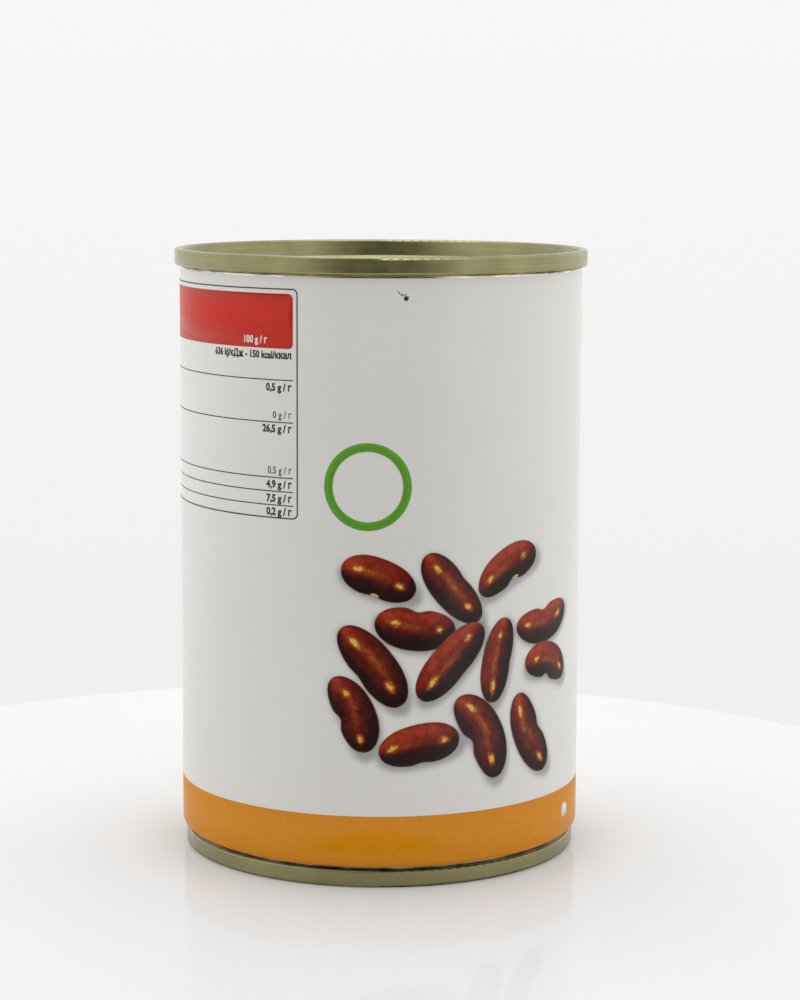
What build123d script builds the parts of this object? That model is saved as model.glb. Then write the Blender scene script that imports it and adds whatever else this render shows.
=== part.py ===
from build123d import *
import os

# A closed steel food can of the common 73 x 110 mm size, standing on its bottom seam.
# Units are millimetres.  The origin is the centre of the base and +Z is the can's axis.
# Every piece is turned round that axis: the wall with its sealed contents, and two end
# lids that are rolled on to it by double seams.

# Driving dimensions
CAN_HEIGHT = 110.0
WALL_RADIUS = 36.75
TOP_RIM_RADIUS = 37.65
BOTTOM_RIM_RADIUS = 36.0

# Double seam, the same at both ends
SEAM_HEIGHT = 3.0
SEAM_THICKNESS = 1.3
SEAM_OVERHANG = TOP_RIM_RADIUS - WALL_RADIUS
SEAM_CREST_ROUND = 0.5
SEAM_SKIRT_ROUND = 0.35

# Wall where it runs up inside a seam
LIP_THICKNESS = 0.25

# End lid: chuck wall, countersink groove and panel, as depths below the seam's crest
COUNTERSINK_DEPTH = 4.2
COUNTERSINK_FLOOR = 0.3
COUNTERSINK_WIDTH = 1.6
COUNTERSINK_ROUND = 0.6
CHUCK_WALL_TAPER = 0.95
PANEL_WALL_TAPER = 0.45
PANEL_DEPTH = 3.3
PANEL_ROUND = 0.4

# Pressed beads on the panel, as distances in from the panel's edge
BEAD_INSETS = [2.4, 6.4]
BEAD_CREST_WIDTH = 1.1
BEAD_FLANK_WIDTH = 0.75
BEAD_HEIGHT = 0.55
CENTRE_DISC_RADIUS = 20.0
CENTRE_DISC_HEIGHT = 0.35

# Neck, where the wall is rolled in so that the bottom seam fits inside a top rim
SHOULDER_HEIGHT = 3.8
NECK_HEIGHT = 3.5
SHOULDER_ROUND = 1.1
NECK_ROUND = 0.2


def turned_solid(corners):
    """Solid of revolution about Z from closed (radius, height, corner rounding) corners."""
    points = [(radius, height) for radius, height, rounding in corners]
    roundings = [rounding for radius, height, rounding in corners]
    outline = Plane.XZ * FilletPolyline(*points, radius=roundings, close=True)
    return revolve(make_face(outline), axis=Axis.Z)


def bead_corners(outer_radius):
    """One raised ring bead on the panel, listed from its inner foot to its outer foot."""
    crest_outer = outer_radius - BEAD_FLANK_WIDTH
    crest_inner = crest_outer - BEAD_CREST_WIDTH
    inner_foot = crest_inner - BEAD_FLANK_WIDTH
    crest = BEAD_HEIGHT - PANEL_DEPTH
    return [
        (inner_foot, -PANEL_DEPTH, PANEL_ROUND),
        (crest_inner, crest, PANEL_ROUND),
        (crest_outer, crest, PANEL_ROUND),
        (outer_radius, -PANEL_DEPTH, PANEL_ROUND),
    ]


def end_lid(rim_radius):
    """End lid with its double seam, facing up, with the seam's crest at height 0."""
    rim_inner = rim_radius - SEAM_THICKNESS
    lip_inner = rim_radius - SEAM_OVERHANG - LIP_THICKNESS
    groove_outer = rim_inner - CHUCK_WALL_TAPER
    groove_inner = groove_outer - COUNTERSINK_WIDTH
    panel_edge = groove_inner - PANEL_WALL_TAPER
    underside = -COUNTERSINK_DEPTH - COUNTERSINK_FLOOR
    centre_top = CENTRE_DISC_HEIGHT - PANEL_DEPTH

    corners = [
        (0, underside, 0),
        (0, centre_top, 0),
        (CENTRE_DISC_RADIUS, centre_top, PANEL_ROUND),
        (CENTRE_DISC_RADIUS + BEAD_FLANK_WIDTH, -PANEL_DEPTH, PANEL_ROUND),
    ]
    for inset in reversed(BEAD_INSETS):
        corners += bead_corners(panel_edge - inset)
    corners += [
        (panel_edge, -PANEL_DEPTH, PANEL_ROUND),
        (groove_inner, -COUNTERSINK_DEPTH, COUNTERSINK_ROUND),
        (groove_outer, -COUNTERSINK_DEPTH, COUNTERSINK_ROUND),
        (rim_inner, 0, SEAM_CREST_ROUND),
        (rim_radius, 0, SEAM_CREST_ROUND),
        (rim_radius, -SEAM_HEIGHT, SEAM_SKIRT_ROUND),
        (lip_inner, -SEAM_HEIGHT, 0),
        (lip_inner, underside, 0),
    ]
    return turned_solid(corners)


def wall_and_contents():
    """Sealed wall, filled to the undersides of both lids, with its neck above the base."""
    neck_radius = BOTTOM_RIM_RADIUS - SEAM_OVERHANG
    contents_gap = COUNTERSINK_DEPTH + COUNTERSINK_FLOOR
    contents_top = CAN_HEIGHT - contents_gap
    lip_top = CAN_HEIGHT - SEAM_HEIGHT
    return turned_solid([
        (0, contents_gap, 0),
        (neck_radius - LIP_THICKNESS, contents_gap, 0),
        (neck_radius - LIP_THICKNESS, SEAM_HEIGHT, 0),
        (neck_radius, SEAM_HEIGHT, 0),
        (neck_radius, NECK_HEIGHT, NECK_ROUND),
        (WALL_RADIUS, SHOULDER_HEIGHT, SHOULDER_ROUND),
        (WALL_RADIUS, lip_top, 0),
        (WALL_RADIUS - LIP_THICKNESS, lip_top, 0),
        (WALL_RADIUS - LIP_THICKNESS, contents_top, 0),
        (0, contents_top, 0),
    ])


nodes = {
    "body": wall_and_contents(),
    "top_end": Pos(0, 0, CAN_HEIGHT) * end_lid(TOP_RIM_RADIUS),
    "bottom_end": mirror(end_lid(BOTTOM_RIM_RADIUS), about=Plane.XY),
}

os.makedirs("parts", exist_ok=True)
for name, solid in nodes.items():
    export_step(solid, f"parts/{name}.step")
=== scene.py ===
import math

import bpy
import numpy as np
from mathutils import Matrix, Vector


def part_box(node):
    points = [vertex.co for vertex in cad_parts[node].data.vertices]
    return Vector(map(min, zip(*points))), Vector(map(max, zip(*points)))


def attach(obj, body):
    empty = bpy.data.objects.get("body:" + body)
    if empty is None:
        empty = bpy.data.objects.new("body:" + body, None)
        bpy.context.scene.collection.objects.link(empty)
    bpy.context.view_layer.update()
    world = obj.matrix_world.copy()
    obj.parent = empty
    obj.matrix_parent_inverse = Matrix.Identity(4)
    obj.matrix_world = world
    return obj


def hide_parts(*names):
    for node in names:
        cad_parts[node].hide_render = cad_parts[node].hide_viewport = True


# A printed steel can of beans on a white turntable.  Label positions are in millimetres on the
# unrolled wall: "across" runs right from the front (the -Y side), "up" runs from the base.

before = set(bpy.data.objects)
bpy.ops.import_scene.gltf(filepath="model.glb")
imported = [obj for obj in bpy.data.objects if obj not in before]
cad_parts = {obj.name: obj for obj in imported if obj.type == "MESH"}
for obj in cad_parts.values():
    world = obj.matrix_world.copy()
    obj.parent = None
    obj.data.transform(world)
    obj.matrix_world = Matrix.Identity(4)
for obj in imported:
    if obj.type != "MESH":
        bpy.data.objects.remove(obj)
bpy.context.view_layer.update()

MM = 0.001
WALL_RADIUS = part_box("body")[1].x / MM
WALL_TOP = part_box("body")[1].z / MM
RIM_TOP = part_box("top_end")[1].z / MM
RIM_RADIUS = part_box("top_end")[1].x / MM
FOOT_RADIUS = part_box("bottom_end")[1].x / MM
SEAM_HEIGHT = RIM_TOP - WALL_TOP
SEAM_OVERHANG = RIM_RADIUS - WALL_RADIUS


# ---------------------------------------------------------------- camera

CAMERA_DISTANCE = 480.6
CAMERA_HEIGHT = 131.0
CAMERA_PITCH = 8.0
CAMERA_YAW = 0.43
CAMERA_ROLL = 0.24
CAMERA_LENS = 94.4


def make_camera():
    data = bpy.data.cameras.new("camera")
    data.lens = CAMERA_LENS
    data.sensor_width = 36.0
    data.clip_start = 0.01
    data.clip_end = 20.0
    camera = bpy.data.objects.new("camera", data)
    bpy.context.scene.collection.objects.link(camera)
    turn = Matrix.Rotation(math.radians(-CAMERA_YAW), 4, "Z")
    tilt = Matrix.Rotation(math.radians(90 - CAMERA_PITCH), 4, "X")
    roll = Matrix.Rotation(math.radians(CAMERA_ROLL), 4, "Z")
    place = Matrix.Translation((0, -CAMERA_DISTANCE * MM, CAMERA_HEIGHT * MM))
    camera.matrix_world = place @ turn @ tilt @ roll
    bpy.context.scene.camera = camera


# ---------------------------------------------------------------- shader building

def add_node(tree, kind, settings=None, **inputs):
    """Adds a node; inputs are values, or sockets to link, by the input's name with _ for spaces."""
    made = tree.nodes.new(kind)
    for key, value in (settings or {}).items():
        setattr(made, key, value)
    for key, value in inputs.items():
        socket = made.inputs[int(key[1:])] if key[1:].isdigit() else made.inputs[key.replace("_", " ")]
        if isinstance(value, bpy.types.NodeSocket):
            tree.links.new(value, socket)
        else:
            socket.default_value = value
    return made


def new_material(name):
    """An empty node material; returns it, its tree and its Principled shader."""
    material = bpy.data.materials.new(name)
    material.use_nodes = True
    return material, material.node_tree, material.node_tree.nodes["Principled BSDF"]


def ramp(tree, factor, stops, mode="LINEAR"):
    """A colour ramp of (position, (r, g, b)) stops."""
    made = add_node(tree, "ShaderNodeValToRGB", Fac=factor)
    elements = made.color_ramp.elements
    made.color_ramp.interpolation = mode
    while len(elements) < len(stops):
        elements.new(0.5)
    for element, (position, colour) in zip(elements, stops):
        element.position = position
        element.color = (*colour, 1.0)
    return made.outputs["Color"]


def blend_colours(tree, factor, first, second, kind="MIX"):
    made = add_node(tree, "ShaderNodeMix", {"data_type": "RGBA", "blend_type": kind})
    for index, value in ((0, factor), (6, first), (7, second)):
        if isinstance(value, bpy.types.NodeSocket):
            tree.links.new(value, made.inputs[index])
        else:
            made.inputs[index].default_value = value if index == 0 else (*value, 1.0)
    return made.outputs[2]


def maths(tree, operation, first, second=0.0, clamp=False):
    settings = {"operation": operation, "use_clamp": clamp}
    return add_node(tree, "ShaderNodeMath", settings, _0=first, _1=second).outputs[0]


def remap(tree, value, low, high, to_low=0.0, to_high=1.0, smooth=True):
    kind = {"interpolation_type": "SMOOTHSTEP" if smooth else "LINEAR"}
    made = add_node(tree, "ShaderNodeMapRange", kind, Value=value)
    for key, number in (("From Min", low), ("From Max", high), ("To Min", to_low), ("To Max", to_high)):
        made.inputs[key].default_value = number
    return made.outputs["Result"]


def object_point(tree):
    return add_node(tree, "ShaderNodeTexCoord").outputs["Object"]


def noise(tree, point, per_metre, detail=3.0, roughness=0.5, stretch=(1, 1, 1)):
    """Noise of the given number of cells a metre, squeezed or drawn out along the axes."""
    scaled = add_node(tree, "ShaderNodeMapping", Vector=point, Scale=stretch).outputs[0]
    grain = {"Scale": per_metre, "Detail": detail, "Roughness": roughness}
    return add_node(tree, "ShaderNodeTexNoise", Vector=scaled, **grain).outputs["Fac"]


def bump(tree, height, distance, strength=1.0, under=None):
    made = add_node(tree, "ShaderNodeBump", Height=height, Distance=distance, Strength=strength)
    if under is not None:
        tree.links.new(under, made.inputs["Normal"])
    return made.outputs["Normal"]


# ---------------------------------------------------------------- materials

LACQUER_WHITE = (0.80, 0.785, 0.755)
INK_ORANGE = (0.66, 0.245, 0.004)
INK_GREEN = (0.105, 0.33, 0.022)
INK_RED = (0.60, 0.022, 0.008)
INK_DARK = (0.035, 0.033, 0.03)
INK_WHITE = (0.82, 0.80, 0.74)


def gloss_of_the_varnish(tree, shader, point):
    """The clear varnish over wall and print: smooth, with a faint ripple of the rolled sheet."""
    ripple = noise(tree, point, 180, detail=2.0, stretch=(1, 1, 0.25))
    tree.links.new(bump(tree, ripple, 0.00002), shader.inputs["Normal"])
    smears = noise(tree, point, 90, detail=4.0)
    tree.links.new(remap(tree, smears, 0.3, 0.8, 0.34, 0.46), shader.inputs["Roughness"])
    shader.inputs["Specular IOR Level"].default_value = 0.0
    shader.inputs["Coat Weight"].default_value = 0.45
    shader.inputs["Coat Roughness"].default_value = 0.09
    shader.inputs["Coat IOR"].default_value = 1.5


def white_lacquer():
    """White enamel; the attribute 'shadow' darkens it where the picture's soft shadows lie."""
    material, tree, shader = new_material("white_lacquer")
    point = object_point(tree)
    tone = noise(tree, point, 45, detail=4.0)
    warm = tuple(c * k for c, k in zip(LACQUER_WHITE, (0.975, 0.972, 0.96)))
    white = ramp(tree, tone, [(0.35, warm), (0.65, LACQUER_WHITE)])
    grime = remap(tree, noise(tree, point, 900, detail=5.0, roughness=0.65), 0.72, 0.80, 0.0, 0.35)
    dusty = blend_colours(tree, grime, white, (0.42, 0.40, 0.37))
    shadow = add_node(tree, "ShaderNodeAttribute", {"attribute_name": "shadow"}).outputs["Fac"]
    shaded = blend_colours(tree, shadow, dusty, (0.13, 0.155, 0.165))
    tree.links.new(shaded, shader.inputs["Base Color"])
    gloss_of_the_varnish(tree, shader, point)
    return material


def ink(name, colour, unevenness=0.06):
    """A flat printed colour with the slight mottle of ink on tinplate, under the same varnish."""
    material, tree, shader = new_material(name)
    point = object_point(tree)
    mottle = noise(tree, point, 1400, detail=3.0)
    deep = tuple(c * (1 - unevenness) for c in colour)
    light = tuple(min(1.0, c * (1 + unevenness)) for c in colour)
    tree.links.new(ramp(tree, mottle, [(0.3, deep), (0.7, light)]), shader.inputs["Base Color"])
    gloss_of_the_varnish(tree, shader, point)
    return material


def gold_lacquered_tinplate():
    """Olive-gold lacquer on tinplate, with rolling marks round the seam, specks and scuffs."""
    material, tree, shader = new_material("gold_lacquered_tinplate")
    point = object_point(tree)
    cloud = noise(tree, point, 120, detail=4.0)
    gold = ramp(tree, cloud, [(0.3, (0.25, 0.23, 0.105)), (0.7, (0.31, 0.288, 0.14))])
    rolled = noise(tree, point, 60, detail=3.0, stretch=(1, 1, 45))
    gold = blend_colours(tree, remap(tree, rolled, 0.45, 0.75, 0.0, 0.3), gold, (0.43, 0.40, 0.22))
    specks = remap(tree, noise(tree, point, 1300, detail=3.0, roughness=0.6), 0.70, 0.76)
    gold = blend_colours(tree, maths(tree, "MULTIPLY", specks, 0.75), gold, (0.035, 0.03, 0.015))
    tree.links.new(gold, shader.inputs["Base Color"])
    shader.inputs["Metallic"].default_value = 1.0
    wear = noise(tree, point, 260, detail=4.0)
    tree.links.new(remap(tree, wear, 0.3, 0.7, 0.30, 0.42), shader.inputs["Roughness"])
    shader.inputs["Coat Weight"].default_value = 0.35
    shader.inputs["Coat Roughness"].default_value = 0.15
    tree.links.new(bump(tree, rolled, 0.00003), shader.inputs["Normal"])
    return material


def bare_tinplate():
    """The unprinted margins of the wall: bright tin, streaked along the edge."""
    material, tree, shader = new_material("bare_tinplate")
    point = object_point(tree)
    streaks = noise(tree, point, 220, detail=4.0, stretch=(1, 1, 6))
    tin = ramp(tree, streaks, [(0.35, (0.22, 0.21, 0.18)), (0.65, (0.80, 0.78, 0.72))])
    tree.links.new(tin, shader.inputs["Base Color"])
    shader.inputs["Metallic"].default_value = 1.0
    tree.links.new(remap(tree, streaks, 0.3, 0.7, 0.06, 0.14), shader.inputs["Roughness"])
    tree.links.new(bump(tree, streaks, 0.00002), shader.inputs["Normal"])
    return material


def bean_print():
    """The pictured beans.  Attributes on the mesh: 'tone' from shade to light, 'shine' for the
    golden lights on the skin, and 'rim' for the thin golden-brown outline."""
    material, tree, shader = new_material("bean_print")
    point = object_point(tree)

    def read(name):
        return add_node(tree, "ShaderNodeAttribute", {"attribute_name": name}).outputs["Fac"]

    mottle = remap(tree, noise(tree, point, 700, detail=5.0, roughness=0.6), 0.2, 0.8, -0.16, 0.16)
    tone = maths(tree, "ADD", read("tone"), mottle, clamp=True)
    skin = ramp(tree, tone, [
        (0.0, (0.016, 0.008, 0.007)),
        (0.28, (0.030, 0.009, 0.008)),
        (0.5, (0.115, 0.011, 0.008)),
        (0.78, (0.235, 0.022, 0.011)),
        (1.0, (0.38, 0.050, 0.018)),
    ])
    broken = remap(tree, noise(tree, point, 1500, detail=3.0), 0.25, 0.7, 0.55, 1.15)
    shine = maths(tree, "MULTIPLY", read("shine"), broken, clamp=True)
    glow = blend_colours(tree, remap(tree, shine, 0.0, 0.55), skin, (0.36, 0.085, 0.012))
    gold = blend_colours(tree, remap(tree, shine, 0.42, 0.95), glow, (0.80, 0.46, 0.085))
    edge = maths(tree, "MULTIPLY", read("rim"), 0.8)
    tree.links.new(blend_colours(tree, edge, gold, (0.27, 0.10, 0.022)), shader.inputs["Base Color"])
    gloss_of_the_varnish(tree, shader, point)
    return material


# ---------------------------------------------------------------- mesh building

def new_piece(name, points, faces, materials, smooth=True):
    """A mesh piece from points in metres."""
    mesh = bpy.data.meshes.new(name)
    mesh.from_pydata([tuple(p) for p in points], [], [tuple(int(i) for i in f) for f in faces])
    for material in materials:
        mesh.materials.append(material)
    mesh.polygons.foreach_set("use_smooth", [smooth] * len(mesh.polygons))
    mesh.validate()
    mesh.update()
    piece = bpy.data.objects.new(name, mesh)
    bpy.context.scene.collection.objects.link(piece)
    return piece


def ride_on_can(piece):
    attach(piece, "root")
    return piece


def rounded_outline(corners, steps=8):
    """(radius, height) points of an outline from (radius, height, rounding) corners."""
    outline = []
    count = len(corners)
    for i, (r, z, rounding) in enumerate(corners):
        here = Vector((r, z))
        if rounding == 0:
            outline.append(here)
            continue
        back = (Vector(corners[i - 1][:2]) - here).normalized()
        ahead = (Vector(corners[(i + 1) % count][:2]) - here).normalized()
        half = back.angle(ahead) / 2
        reach = rounding / math.tan(half)
        centre = here + (back + ahead).normalized() * (rounding / math.sin(half))
        first = here + back * reach - centre
        sweep = first.angle_signed(here + ahead * reach - centre)
        for k in range(steps + 1):
            turned = first.copy()
            turned.rotate(Matrix.Rotation(-sweep * k / steps, 2))
            outline.append(centre + turned)
    return outline


def turned_mesh(outline, segments, closed=True):
    """Points and faces of an outline turned about Z; closed joins its last point to its first."""
    angles = np.linspace(0, 2 * math.pi, segments, endpoint=False)
    points, rings = [], []
    for r, z in outline:
        if r < 1e-6:
            rings.append([len(points)] * segments)
            points.append((0, 0, z * MM))
            continue
        rings.append(list(range(len(points), len(points) + segments)))
        points += [(r * math.sin(a) * MM, -r * math.cos(a) * MM, z * MM) for a in angles]
    faces, ring_of_face = [], []
    for i in range(len(outline) if closed else len(outline) - 1):
        low, high = rings[i], rings[(i + 1) % len(outline)]
        for k in range(segments):
            face = [low[k], low[(k + 1) % segments], high[(k + 1) % segments], high[k]]
            face = list(dict.fromkeys(face))
            if len(face) > 2:
                faces.append(face)
                ring_of_face.append(i)
    return points, faces, ring_of_face


def on_wall(across, up, lift):
    """Points in metres for label positions, lifted off the wall by that many millimetres."""
    across, up, lift = np.broadcast_arrays(across, up, lift)
    angle = across / WALL_RADIUS
    radius = WALL_RADIUS + lift
    return np.stack([radius * np.sin(angle), -radius * np.cos(angle), up], -1) * MM


INK_THICKNESS = 0.03
INK_LIFT = 0.02


def give_ink_thickness(piece):
    """Thickens a sheet inwards into a film of ink."""
    film = piece.modifiers.new("film", "SOLIDIFY")
    film.thickness = INK_THICKNESS * MM
    film.offset = -1.0


def print_on_wall(name, flat_points, faces, material, lift=INK_LIFT):
    """A thin film of ink on the wall, from flat (across, up) points."""
    flat = np.array(flat_points, float)
    piece = new_piece(name, on_wall(flat[:, 0], flat[:, 1], lift), faces, [material])
    give_ink_thickness(piece)
    return ride_on_can(piece)


def set_numbers(piece, name, values):
    """Stores one number a vertex for the shaders."""
    attribute = piece.data.attributes.new(name, "FLOAT", "POINT")
    attribute.data.foreach_set("value", np.asarray(values, np.float32))


RUN_STEP = 0.8
CORNER_STEPS = 8
LEVEL_SIDE_PARTS = 60


def circle(sides):
    return [2 * math.pi * k / sides for k in range(sides)]


def rounded_rectangle(left, right, low, high, rounding):
    """Points round a rounded rectangle, with its level sides divided to follow the wall."""
    corners = ((right, high, 0), (left, high, 90), (left, low, 180), (right, low, 270))
    points = []
    for x, y, start in corners:
        centre_x = x - math.copysign(rounding, x - (left + right) / 2)
        centre_y = y - math.copysign(rounding, y - (low + high) / 2)
        for k in range(CORNER_STEPS + 1):
            a = math.radians(start + 90 * k / CORNER_STEPS)
            points.append((centre_x + rounding * math.cos(a), centre_y + rounding * math.sin(a)))
        if start in (0, 180):
            end = (left + rounding, high) if start == 0 else (right - rounding, low)
            last = points[-1]
            step = (end[0] - last[0]) / LEVEL_SIDE_PARTS
            points += [(last[0] + step * k, end[1]) for k in range(1, LEVEL_SIDE_PARTS)]
    return points


class Drawing:
    """Flat shapes collected into one print, in label millimetres."""

    def __init__(self):
        self.points = []
        self.faces = []

    def add(self, points, faces):
        start = len(self.points)
        self.points += [tuple(p) for p in points]
        self.faces += [[start + i for i in face] for face in faces]

    def grid(self, rows):
        """A sheet of quads from equal rows of points."""
        wide = len(rows[0])
        points = [p for row in rows for p in row]
        faces = [
            (r * wide + c, r * wide + c + 1, (r + 1) * wide + c + 1, (r + 1) * wide + c)
            for r in range(len(rows) - 1)
            for c in range(wide - 1)
        ]
        self.add(points, faces)

    def disc(self, across, up, radius, sides=32, squash=1.0, tilt=0.0):
        turn = Matrix.Rotation(math.radians(tilt), 2)
        rim = [Vector((radius * math.cos(a), radius * squash * math.sin(a))) for a in circle(sides)]
        points = [(across, up)] + [turn @ p + Vector((across, up)) for p in rim]
        self.add(points, [(0, 1 + k, 1 + (k + 1) % sides) for k in range(sides)])

    def ring(self, across, up, outer, inner, sides=128):
        rows = [
            [(across + r * math.cos(a), up + r * math.sin(a)) for r in (outer, inner)]
            for a in circle(sides)
        ]
        self.grid(rows + rows[:1])

    def rule(self, left, right, up, width):
        """A straight level line."""
        stops = np.linspace(left, right, max(2, int((right - left) / RUN_STEP)))
        self.grid([[(s, up - width / 2) for s in stops], [(s, up + width / 2) for s in stops]])

    def frame(self, left, right, low, high, rounding, width):
        """A rounded rectangle drawn as a line."""
        outer = rounded_rectangle(left, right, low, high, rounding)
        inset = rounded_rectangle(left + width, right - width, low + width, high - width, rounding - width)
        rows = [list(pair) for pair in zip(outer, inset)]
        self.grid(rows + rows[:1])


# ---------------------------------------------------------------- the wall

NECK_HEIGHT = 3.5
NECK_ROUND = 0.2
BARE_NECK = 0.12
SHOULDER_HEIGHT = 3.8
SHOULDER_ROUND = 1.1
LIP_THICKNESS = 0.25
LID_DEPTH = 4.5
TOP_MARGIN = 0.6
ORANGE_TOP = 12.97
WALL_SEGMENTS = 512


def neck_and_wall(start_height):
    """The outline from the neck round the shoulder to start_height on the straight wall."""
    neck_radius = FOOT_RADIUS - SEAM_OVERHANG
    corners = [
        (neck_radius, SEAM_HEIGHT, 0),
        (neck_radius, NECK_HEIGHT, NECK_ROUND),
        (WALL_RADIUS, SHOULDER_HEIGHT, SHOULDER_ROUND),
        (WALL_RADIUS, start_height, 0),
    ]
    return rounded_outline(corners)


def make_wall(white, tin):
    """The wall, closed inside the lids; the shadow of the bean picture is stored on its vertices."""
    neck_radius = FOOT_RADIUS - SEAM_OVERHANG
    margin = WALL_TOP - TOP_MARGIN
    outline = neck_and_wall(margin)
    bare_below = len([p for p in outline if p[1] < NECK_HEIGHT + BARE_NECK])
    outline[-1:-1] = [Vector((WALL_RADIUS, z)) for z in np.arange(PICTURE_LOW, PICTURE_HIGH, SHADOW_STEP)]
    margin_ring = len(outline) - 1
    outline += [
        Vector((WALL_RADIUS, WALL_TOP)),
        Vector((WALL_RADIUS - LIP_THICKNESS, WALL_TOP)),
        Vector((WALL_RADIUS - LIP_THICKNESS, RIM_TOP - LID_DEPTH)),
        Vector((0, RIM_TOP - LID_DEPTH)),
        Vector((0, LID_DEPTH)),
        Vector((neck_radius - LIP_THICKNESS, LID_DEPTH)),
        Vector((neck_radius - LIP_THICKNESS, SEAM_HEIGHT)),
    ]
    points, faces, rings = turned_mesh(outline, WALL_SEGMENTS)
    wall = new_piece("can_wall", points, faces, [white, tin])
    bare = [1 if r >= margin_ring or r < bare_below else 0 for r in rings]
    wall.data.polygons.foreach_set("material_index", bare)
    wall.data.polygons.foreach_set("use_smooth", [r <= margin_ring for r in rings])
    place = np.array(points) / MM
    across = np.arctan2(place[:, 0], -place[:, 1]) * WALL_RADIUS
    up = place[:, 2]
    inside = (across > PICTURE_LEFT) & (across < PICTURE_RIGHT) & (up > PICTURE_LOW) & (up < PICTURE_HIGH)
    set_numbers(wall, "shadow", np.where(inside, bean_shadow(across, up), 0.0))
    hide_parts("body")
    return ride_on_can(wall)


def make_orange_band(orange):
    """The orange band, printed down the wall and round the shoulder."""
    shoulder = [p for p in neck_and_wall(ORANGE_TOP) if p[1] > NECK_HEIGHT + BARE_NECK]
    outline = [Vector((p[0] + INK_LIFT, p[1])) for p in shoulder]
    points, faces, _ = turned_mesh(outline, WALL_SEGMENTS, closed=False)
    band = new_piece("orange_band", points, faces, [orange])
    give_ink_thickness(band)
    return ride_on_can(band)


# ---------------------------------------------------------------- the picture of beans

# Each bean: across, up, tilt in degrees, length, width, bend in degrees (positive hollows the
# lower side), and how much fatter its right end is.
BEANS = [
    (-0.3, 54.7, -20, 13.6, 7.0, 12, -0.05),
    (12.8, 52.8, -50, 15.6, 6.6, -10, -0.05),
    (24.2, 55.3, 27, 14.6, 6.6, 30, 0.08),
    (6.2, 46.4, -8, 14.4, 7.4, -20, -0.04),
    (-1.3, 39.6, -52, 17.2, 7.4, 10, 0.02),
    (12.6, 40.0, 47, 17.0, 7.0, 5, 0.0),
    (21.9, 39.5, 78, 15.2, 6.2, 8, 0.0),
    (33.7, 45.3, 8, 15.4, 6.6, -28, 0.0),
    (34.8, 36.9, -15, 13.4, 6.6, 42, -0.05),
    (-4.9, 31.1, -66, 14.4, 7.0, 26, 0.04),
    (7.0, 25.4, 10, 14.6, 7.2, 12, 0.04),
    (18.5, 26.4, -62, 17.2, 7.4, 30, -0.02),
    (29.9, 25.4, -62, 16.6, 7.0, -22, 0.06),
]
BEAN_ALONG = 44
BEAN_ACROSS = 18
BEAN_LIFT_STEP = 0.003
PICTURE_LIGHT = Vector((-0.30, 0.62, 0.72)).normalized()


class Bean:
    """A bean's flat shape: (s, t) runs from -1 to 1 along it and across it."""

    def __init__(self, across, up, tilt, length, width, bend, fatter):
        self.centre = Vector((across, up))
        self.tilt = math.radians(tilt)
        self.length = length
        self.width = width
        self.bend = math.radians(bend)
        self.fatter = fatter

    def spine(self, s):
        """The point on the middle line, and the direction along it there."""
        turn = -self.bend * s
        if abs(self.bend) < 1e-6:
            local = Vector((s * self.length / 2, 0))
        else:
            radius = self.length / 2 / self.bend
            local = Vector((radius * math.sin(-turn), -radius * (1 - math.cos(turn))))
            local.y += radius * (1 - math.cos(self.bend)) * 0.4
        rotate = Matrix.Rotation(self.tilt, 2)
        return self.centre + rotate @ local, self.tilt + turn

    def half_width(self, s):
        """Half the width at s: blunt ends, one end fatter, a waist on the hollow side."""
        ends = (1 - abs(s) ** 2.5) ** 0.5 if abs(s) < 1 else 0.0
        return self.width / 2 * ends * (1 + self.fatter * s)

    def waist(self, s, t):
        """How far the hollow side is drawn in at the hilum."""
        hollow = -math.copysign(1, self.bend)
        depth = min(0.24, abs(self.bend) * 0.45)
        return 1 - depth * math.exp(-((s / 0.22) ** 2)) * max(0.0, t * hollow) ** 2

    def point(self, s, t):
        middle, heading = self.spine(s)
        side = Vector((-math.sin(heading), math.cos(heading)))
        return middle + side * (t * self.half_width(s) * self.waist(s, t))


def bean_shading(bean, s, t, lights):
    """tone, shine and rim at a point of a bean, from its domed shape under the picture's light."""
    _, heading = bean.spine(s)
    along = Vector((math.cos(heading), math.sin(heading)))
    side = Vector((-along.y, along.x))
    end = math.copysign(abs(s) ** 3.2, s)
    lean = side * (t * 0.93) + along * (end * 0.9 * math.sqrt(max(0.0, 1 - t * t * 0.9)))
    rise = math.sqrt(max(0.0, 1 - min(1.0, lean.length_squared)))
    normal = Vector((lean.x, lean.y, rise))
    tone = max(0.0, normal.dot(PICTURE_LIGHT)) ** 1.9
    toward = 1 if side.dot(PICTURE_LIGHT.xy) > 0 else -1
    shine = 0.0
    for place, offset, long, wide, strength in lights:
        gap = ((s - place) / long) ** 2 + ((t * toward - offset) / wide) ** 2
        shine = max(shine, strength * math.exp(-gap))
    depth = (1 - max(abs(t), abs(s) ** 1.5)) * bean.width / 2
    rim = max(0.0, 1 - depth / 0.22)
    return tone, shine, rim


def bean_lights(rng):
    """Two golden lights near the ends and a faint streak that joins them."""
    left = (rng.uniform(-0.66, -0.52), rng.uniform(0.02, 0.22), rng.uniform(0.10, 0.2), 0.17, 1.35)
    right = (rng.uniform(0.52, 0.68), rng.uniform(-0.02, 0.2), rng.uniform(0.08, 0.13), 0.17, 1.3)
    streak = (rng.uniform(-0.3, 0.1), rng.uniform(0.0, 0.2), 0.5, 0.2, rng.uniform(0.3, 0.6))
    return [left, right, streak]


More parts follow.
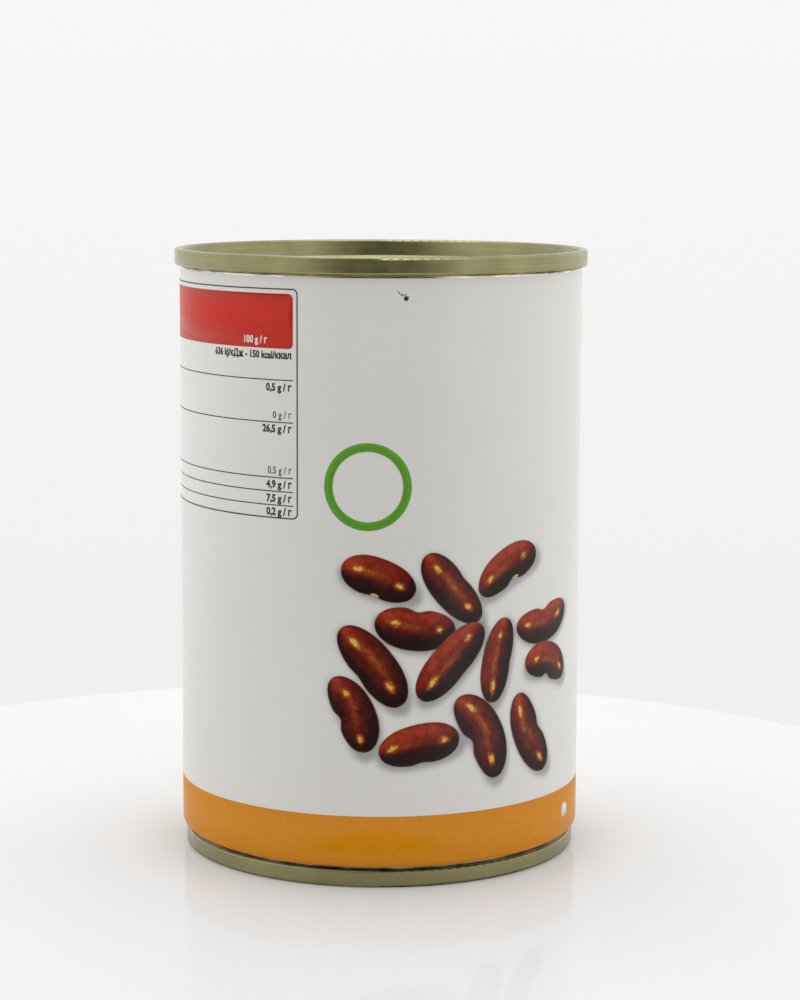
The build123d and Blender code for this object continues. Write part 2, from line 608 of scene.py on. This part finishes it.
def make_beans(material, pale):
    rng = np.random.default_rng(7)
    s_values = [math.sin(math.pi / 2 * k) for k in np.linspace(-1, 1, BEAN_ALONG + 1)]
    t_values = [math.sin(math.pi / 2 * k) for k in np.linspace(-1, 1, BEAN_ACROSS + 1)]
    drawing, lifts, shading = Drawing(), [], []
    for index, numbers in enumerate(BEANS):
        bean = Bean(*numbers)
        lights = bean_lights(rng)
        start = len(drawing.points)
        inner = s_values[1:-1]
        drawing.grid([[bean.point(s, t) for t in t_values] for s in inner])
        shading += [bean_shading(bean, s, t, lights) for s in inner for t in t_values]
        for s, row in ((-1, 0), (1, len(inner) - 1)):
            tip = len(drawing.points)
            drawing.points.append(tuple(bean.point(s, 0)))
            shading.append(bean_shading(bean, s, 0, lights))
            edge = [start + row * len(t_values) + c for c in range(len(t_values))]
            for a, b in zip(edge, edge[1:]):
                drawing.faces.append([tip, b, a] if s < 0 else [tip, a, b])
        lifts += [INK_LIFT + index * BEAN_LIFT_STEP] * (len(drawing.points) - len(lifts))
    flat, faces = drawing.points, drawing.faces
    beans = print_on_wall("printed_beans", flat, faces, material, np.array(lifts))
    for name, values in zip(("tone", "shine", "rim"), zip(*shading)):
        set_numbers(beans, name, values)

    marks = Drawing()
    for number, s, size in HILUMS:
        bean = Bean(*BEANS[number])
        hollow = -math.copysign(1, bean.bend)
        place = bean.point(s, hollow * 0.93)
        _, heading = bean.spine(s)
        marks.disc(place.x, place.y, size, sides=20, squash=0.36, tilt=math.degrees(heading))
    print_on_wall("bean_hilums", marks.points, marks.faces, pale, INK_LIFT + 0.05)


# Which beans show their pale hilum, where along them, and its half length.
HILUMS = [(0, 0.05, 0.75), (2, 0.1, 0.8), (8, 0.0, 0.3), (10, 0.15, 0.7), (11, 0.05, 0.55)]

SHADOW_STEP = 0.4
SHADOW_SHIFT = Vector((0.45, -0.75))
SHADOW_SOFTNESS = 0.85 / 3.2
SHADOW_DEPTH = 0.62
PICTURE_LEFT = -14.0
PICTURE_RIGHT = 44.0
PICTURE_LOW = 14.0
PICTURE_HIGH = 62.0


def bean_shadow(x, y):
    """How deep the soft grey shadows below and to the right of the beans are at label points."""
    light = np.ones_like(x)
    for numbers in BEANS:
        bean = Bean(*numbers)
        spots = [(bean.spine(s)[0] + SHADOW_SHIFT, bean.half_width(s)) for s in np.linspace(-0.9, 0.9, 19)]
        gap = np.min([np.hypot(x - p.x, y - p.y) - w for p, w in spots], axis=0)
        depth = SHADOW_DEPTH / (1 + np.exp(np.clip(gap / SHADOW_SOFTNESS, -30, 30)))
        light *= 1 - depth
    return 1 - light


# ---------------------------------------------------------------- the table of values

TABLE_LEFT = -62.0
TABLE_RIGHT = -14.6
TABLE_LOW = 64.7
TABLE_HIGH = 104.4
TABLE_ROUND = 1.0
TABLE_LINE = 0.2
INSET = 0.9
HEADER_LOW = 94.1
HEADER_HIGH = 103.5
INNER_RIGHT = -15.5
FIGURE_RIGHT = -15.8
RULE_HEIGHTS = [88.7, 81.4, 71.8, 69.4, 67.0]
# Each figure: words, baseline height, digit height, boldness.
FIGURES = [
    ("636 kJ/кДж - 150 kcal/ккал", 92.4, 1.25, 0.04),
    ("0,5 g / г", 86.85, 1.3, 0.04),
    ("0 g / г", 82.1, 1.25, 0.008),
    ("26,5 g / г", 79.7, 1.3, 0.04),
    ("0,5 g / г", 72.5, 1.25, 0.008),
    ("4,9 g / г", 70.05, 1.3, 0.04),
    ("7,5 g / г", 67.6, 1.3, 0.04),
    ("0,2 g / г", 65.3, 1.3, 0.04),
]
HEADER_FIGURE = ("100 g / г", 94.95, 1.25, 0.035)
HEADER_FIGURE_RIGHT = -20.6
FIGURE_NARROWING = 0.88
DIGIT_SIZE = 0.729


def add_figure(drawing, words, right, base, digit_height, boldness):
    """Lettering set against a right-hand edge."""
    curve = bpy.data.curves.new("figure", "FONT")
    curve.body = words
    curve.offset = boldness
    curve.resolution_u = 3
    text = bpy.data.objects.new("figure", curve)
    bpy.context.scene.collection.objects.link(text)
    bpy.context.view_layer.update()
    mesh = bpy.data.meshes.new_from_object(text.evaluated_get(bpy.context.evaluated_depsgraph_get()))
    scale = digit_height / DIGIT_SIZE
    flat = np.array([v.co.xy for v in mesh.vertices])
    flat[:, 0] = right + (flat[:, 0] - flat[:, 0].max()) * scale * FIGURE_NARROWING
    flat[:, 1] = base + flat[:, 1] * scale
    drawing.add(flat, [list(p.vertices) for p in mesh.polygons])
    bpy.data.objects.remove(text)
    bpy.data.curves.remove(curve)
    bpy.data.meshes.remove(mesh)


def make_table(dark, red, white):
    lines = Drawing()
    lines.frame(TABLE_LEFT, TABLE_RIGHT, TABLE_LOW, TABLE_HIGH, TABLE_ROUND, TABLE_LINE)
    for height in RULE_HEIGHTS:
        lines.rule(TABLE_LEFT + INSET, INNER_RIGHT, height, TABLE_LINE * 0.9)
    print_on_wall("table_lines", lines.points, lines.faces, dark)

    header = Drawing()
    outline = rounded_rectangle(TABLE_LEFT + INSET, INNER_RIGHT, HEADER_LOW, HEADER_HIGH, TABLE_ROUND * 0.9)
    upper = outline[: len(outline) // 2]
    lower = outline[len(outline) // 2:][::-1]
    header.grid([upper, lower])
    print_on_wall("table_header", header.points, header.faces, red)

    figures = Drawing()
    for words, base, height, boldness in FIGURES:
        add_figure(figures, words, FIGURE_RIGHT, base, height, boldness)
    print_on_wall("table_figures", figures.points, figures.faces, dark)
    portion = Drawing()
    add_figure(portion, HEADER_FIGURE[0], HEADER_FIGURE_RIGHT, *HEADER_FIGURE[1:])
    print_on_wall("header_figure", portion.points, portion.faces, white, INK_LIFT + 0.015)


# ---------------------------------------------------------------- ring, dots and marks

RING_ACROSS = -2.2
RING_UP = 70.8
RING_OUTER = 7.55
RING_LINE = 1.45
DOT_UP = 8.7
DOT_RADIUS = 1.35
DOT_DEGREES = [66, 122, 178, -126]
# A spot of dirt and the specks beside it: across, up, radius.
SPECKS = [
    (4.25, 103.0, 0.42), (3.75, 103.55, 0.16), (3.45, 103.7, 0.12), (4.2, 103.65, 0.14),
    (3.1, 103.95, 0.13), (4.75, 103.25, 0.1), (3.3, 103.6, 0.08), (2.85, 104.15, 0.08),
]


def make_small_prints(green, white, dark):
    ring = Drawing()
    ring.ring(RING_ACROSS, RING_UP, RING_OUTER, RING_OUTER - RING_LINE)
    print_on_wall("green_ring", ring.points, ring.faces, green)
    dots = Drawing()
    for degrees in DOT_DEGREES:
        dots.disc(math.radians(degrees) * WALL_RADIUS, DOT_UP, DOT_RADIUS)
    print_on_wall("orange_band_dots", dots.points, dots.faces, white, INK_LIFT + 0.02)
    specks = Drawing()
    for across, up, radius in SPECKS:
        specks.disc(across, up, radius, sides=14)
    print_on_wall("dirt_specks", specks.points, specks.faces, dark)


# ---------------------------------------------------------------- stage and light

TURNTABLE_RADIUS = 134.6
TURNTABLE_CENTRE = (-7.4, 2.5)
TURNTABLE_THICKNESS = 8.0
OPENING_DIRECTION = (-0.03, -0.97, 0.1)
OPENING_DARKNESS = 0.86


def make_turntable():
    """The glossy white turntable that the can stands on."""
    corners = [
        (0, 0, 0),
        (TURNTABLE_RADIUS, 0, 1.5),
        (TURNTABLE_RADIUS, -TURNTABLE_THICKNESS, 1.0),
        (0, -TURNTABLE_THICKNESS, 0),
    ]
    points, faces, _ = turned_mesh(rounded_outline(corners), 192, closed=False)
    material, tree, shader = new_material("turntable_gloss")
    point = object_point(tree)
    haze = noise(tree, point, 12, detail=2.0)
    white = ramp(tree, haze, [(0.3, (0.755, 0.757, 0.765)), (0.7, (0.775, 0.777, 0.78))])
    tree.links.new(white, shader.inputs["Base Color"])
    shader.inputs["Roughness"].default_value = 0.5
    shader.inputs["Specular IOR Level"].default_value = 0.0
    shader.inputs["Coat Weight"].default_value = 0.45
    shader.inputs["Coat Roughness"].default_value = 0.03
    mesh = bpy.data.meshes.new("turntable")
    mesh.from_pydata(points, [], faces)
    mesh.materials.append(material)
    mesh.polygons.foreach_set("use_smooth", [True] * len(mesh.polygons))
    turntable = bpy.data.objects.new("turntable", mesh)
    bpy.context.scene.collection.objects.link(turntable)
    turntable.location = (TURNTABLE_CENTRE[0] * MM, TURNTABLE_CENTRE[1] * MM, 0)


def make_world():
    """A white light tent: bright round the sides, brighter above, dark at the front opening."""
    world = bpy.data.worlds.new("light_tent")
    bpy.context.scene.world = world
    world.use_nodes = True
    tree = world.node_tree
    tree.nodes.clear()
    direction = add_node(tree, "ShaderNodeTexCoord").outputs["Generated"]
    parts = add_node(tree, "ShaderNodeSeparateXYZ", Vector=direction)
    height = parts.outputs["Z"]
    facing = {"operation": "DOT_PRODUCT"}
    opening = add_node(tree, "ShaderNodeVectorMath", facing, _0=direction, _1=OPENING_DIRECTION)
    dark = remap(tree, opening.outputs["Value"], 0.64, 0.90)
    sides = remap(tree, height, -0.2, 0.9, 1.03, 1.10)
    left_lit = maths(tree, "SUBTRACT", 1.0, maths(tree, "MULTIPLY", dark, OPENING_DARKNESS))
    tent = maths(tree, "MULTIPLY", sides, left_lit)
    seen = remap(tree, height, -0.2, 0.06, 0.872, 0.932, smooth=False)
    camera_sees = add_node(tree, "ShaderNodeLightPath").outputs["Is Camera Ray"]
    lit = add_node(tree, "ShaderNodeBackground", Color=(1.0, 0.995, 0.985, 1.0), Strength=tent)
    shown = add_node(tree, "ShaderNodeBackground", Color=(1.0, 1.0, 0.997, 1.0), Strength=seen)
    both = add_node(tree, "ShaderNodeMixShader", _0=camera_sees, _1=lit.outputs[0], _2=shown.outputs[0])
    add_node(tree, "ShaderNodeOutputWorld", Surface=both.outputs[0])


def add_softbox(name, place, size, power):
    light = bpy.data.lights.new(name, "AREA")
    light.shape = "RECTANGLE"
    light.size, light.size_y = size
    light.energy = power
    lamp = bpy.data.objects.new(name, light)
    lamp.location = place
    lamp.rotation_euler = Vector(place).to_track_quat("Z", "Y").to_euler()
    bpy.context.scene.collection.objects.link(lamp)


# ---------------------------------------------------------------- build

make_camera()
white = white_lacquer()
gold = gold_lacquered_tinplate()
dark_ink = ink("dark_print", INK_DARK)
white_ink = ink("white_print", INK_WHITE)
hilum_ink = ink("hilum_print", (0.55, 0.40, 0.14))

make_wall(white, bare_tinplate())
make_orange_band(ink("orange_print", INK_ORANGE, 0.05))
make_beans(bean_print(), hilum_ink)
make_table(dark_ink, ink("red_print", INK_RED), white_ink)
make_small_prints(ink("green_print", INK_GREEN), white_ink, dark_ink)

for end in ("top_end", "bottom_end"):
    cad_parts[end].data.materials.clear()
    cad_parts[end].data.materials.append(gold)

make_turntable()
make_world()
add_softbox("overhead_softbox", (0.0, 0.05, 0.75), (0.5, 0.5), 1.3)
bpy.context.scene.view_settings.view_transform = "Standard"
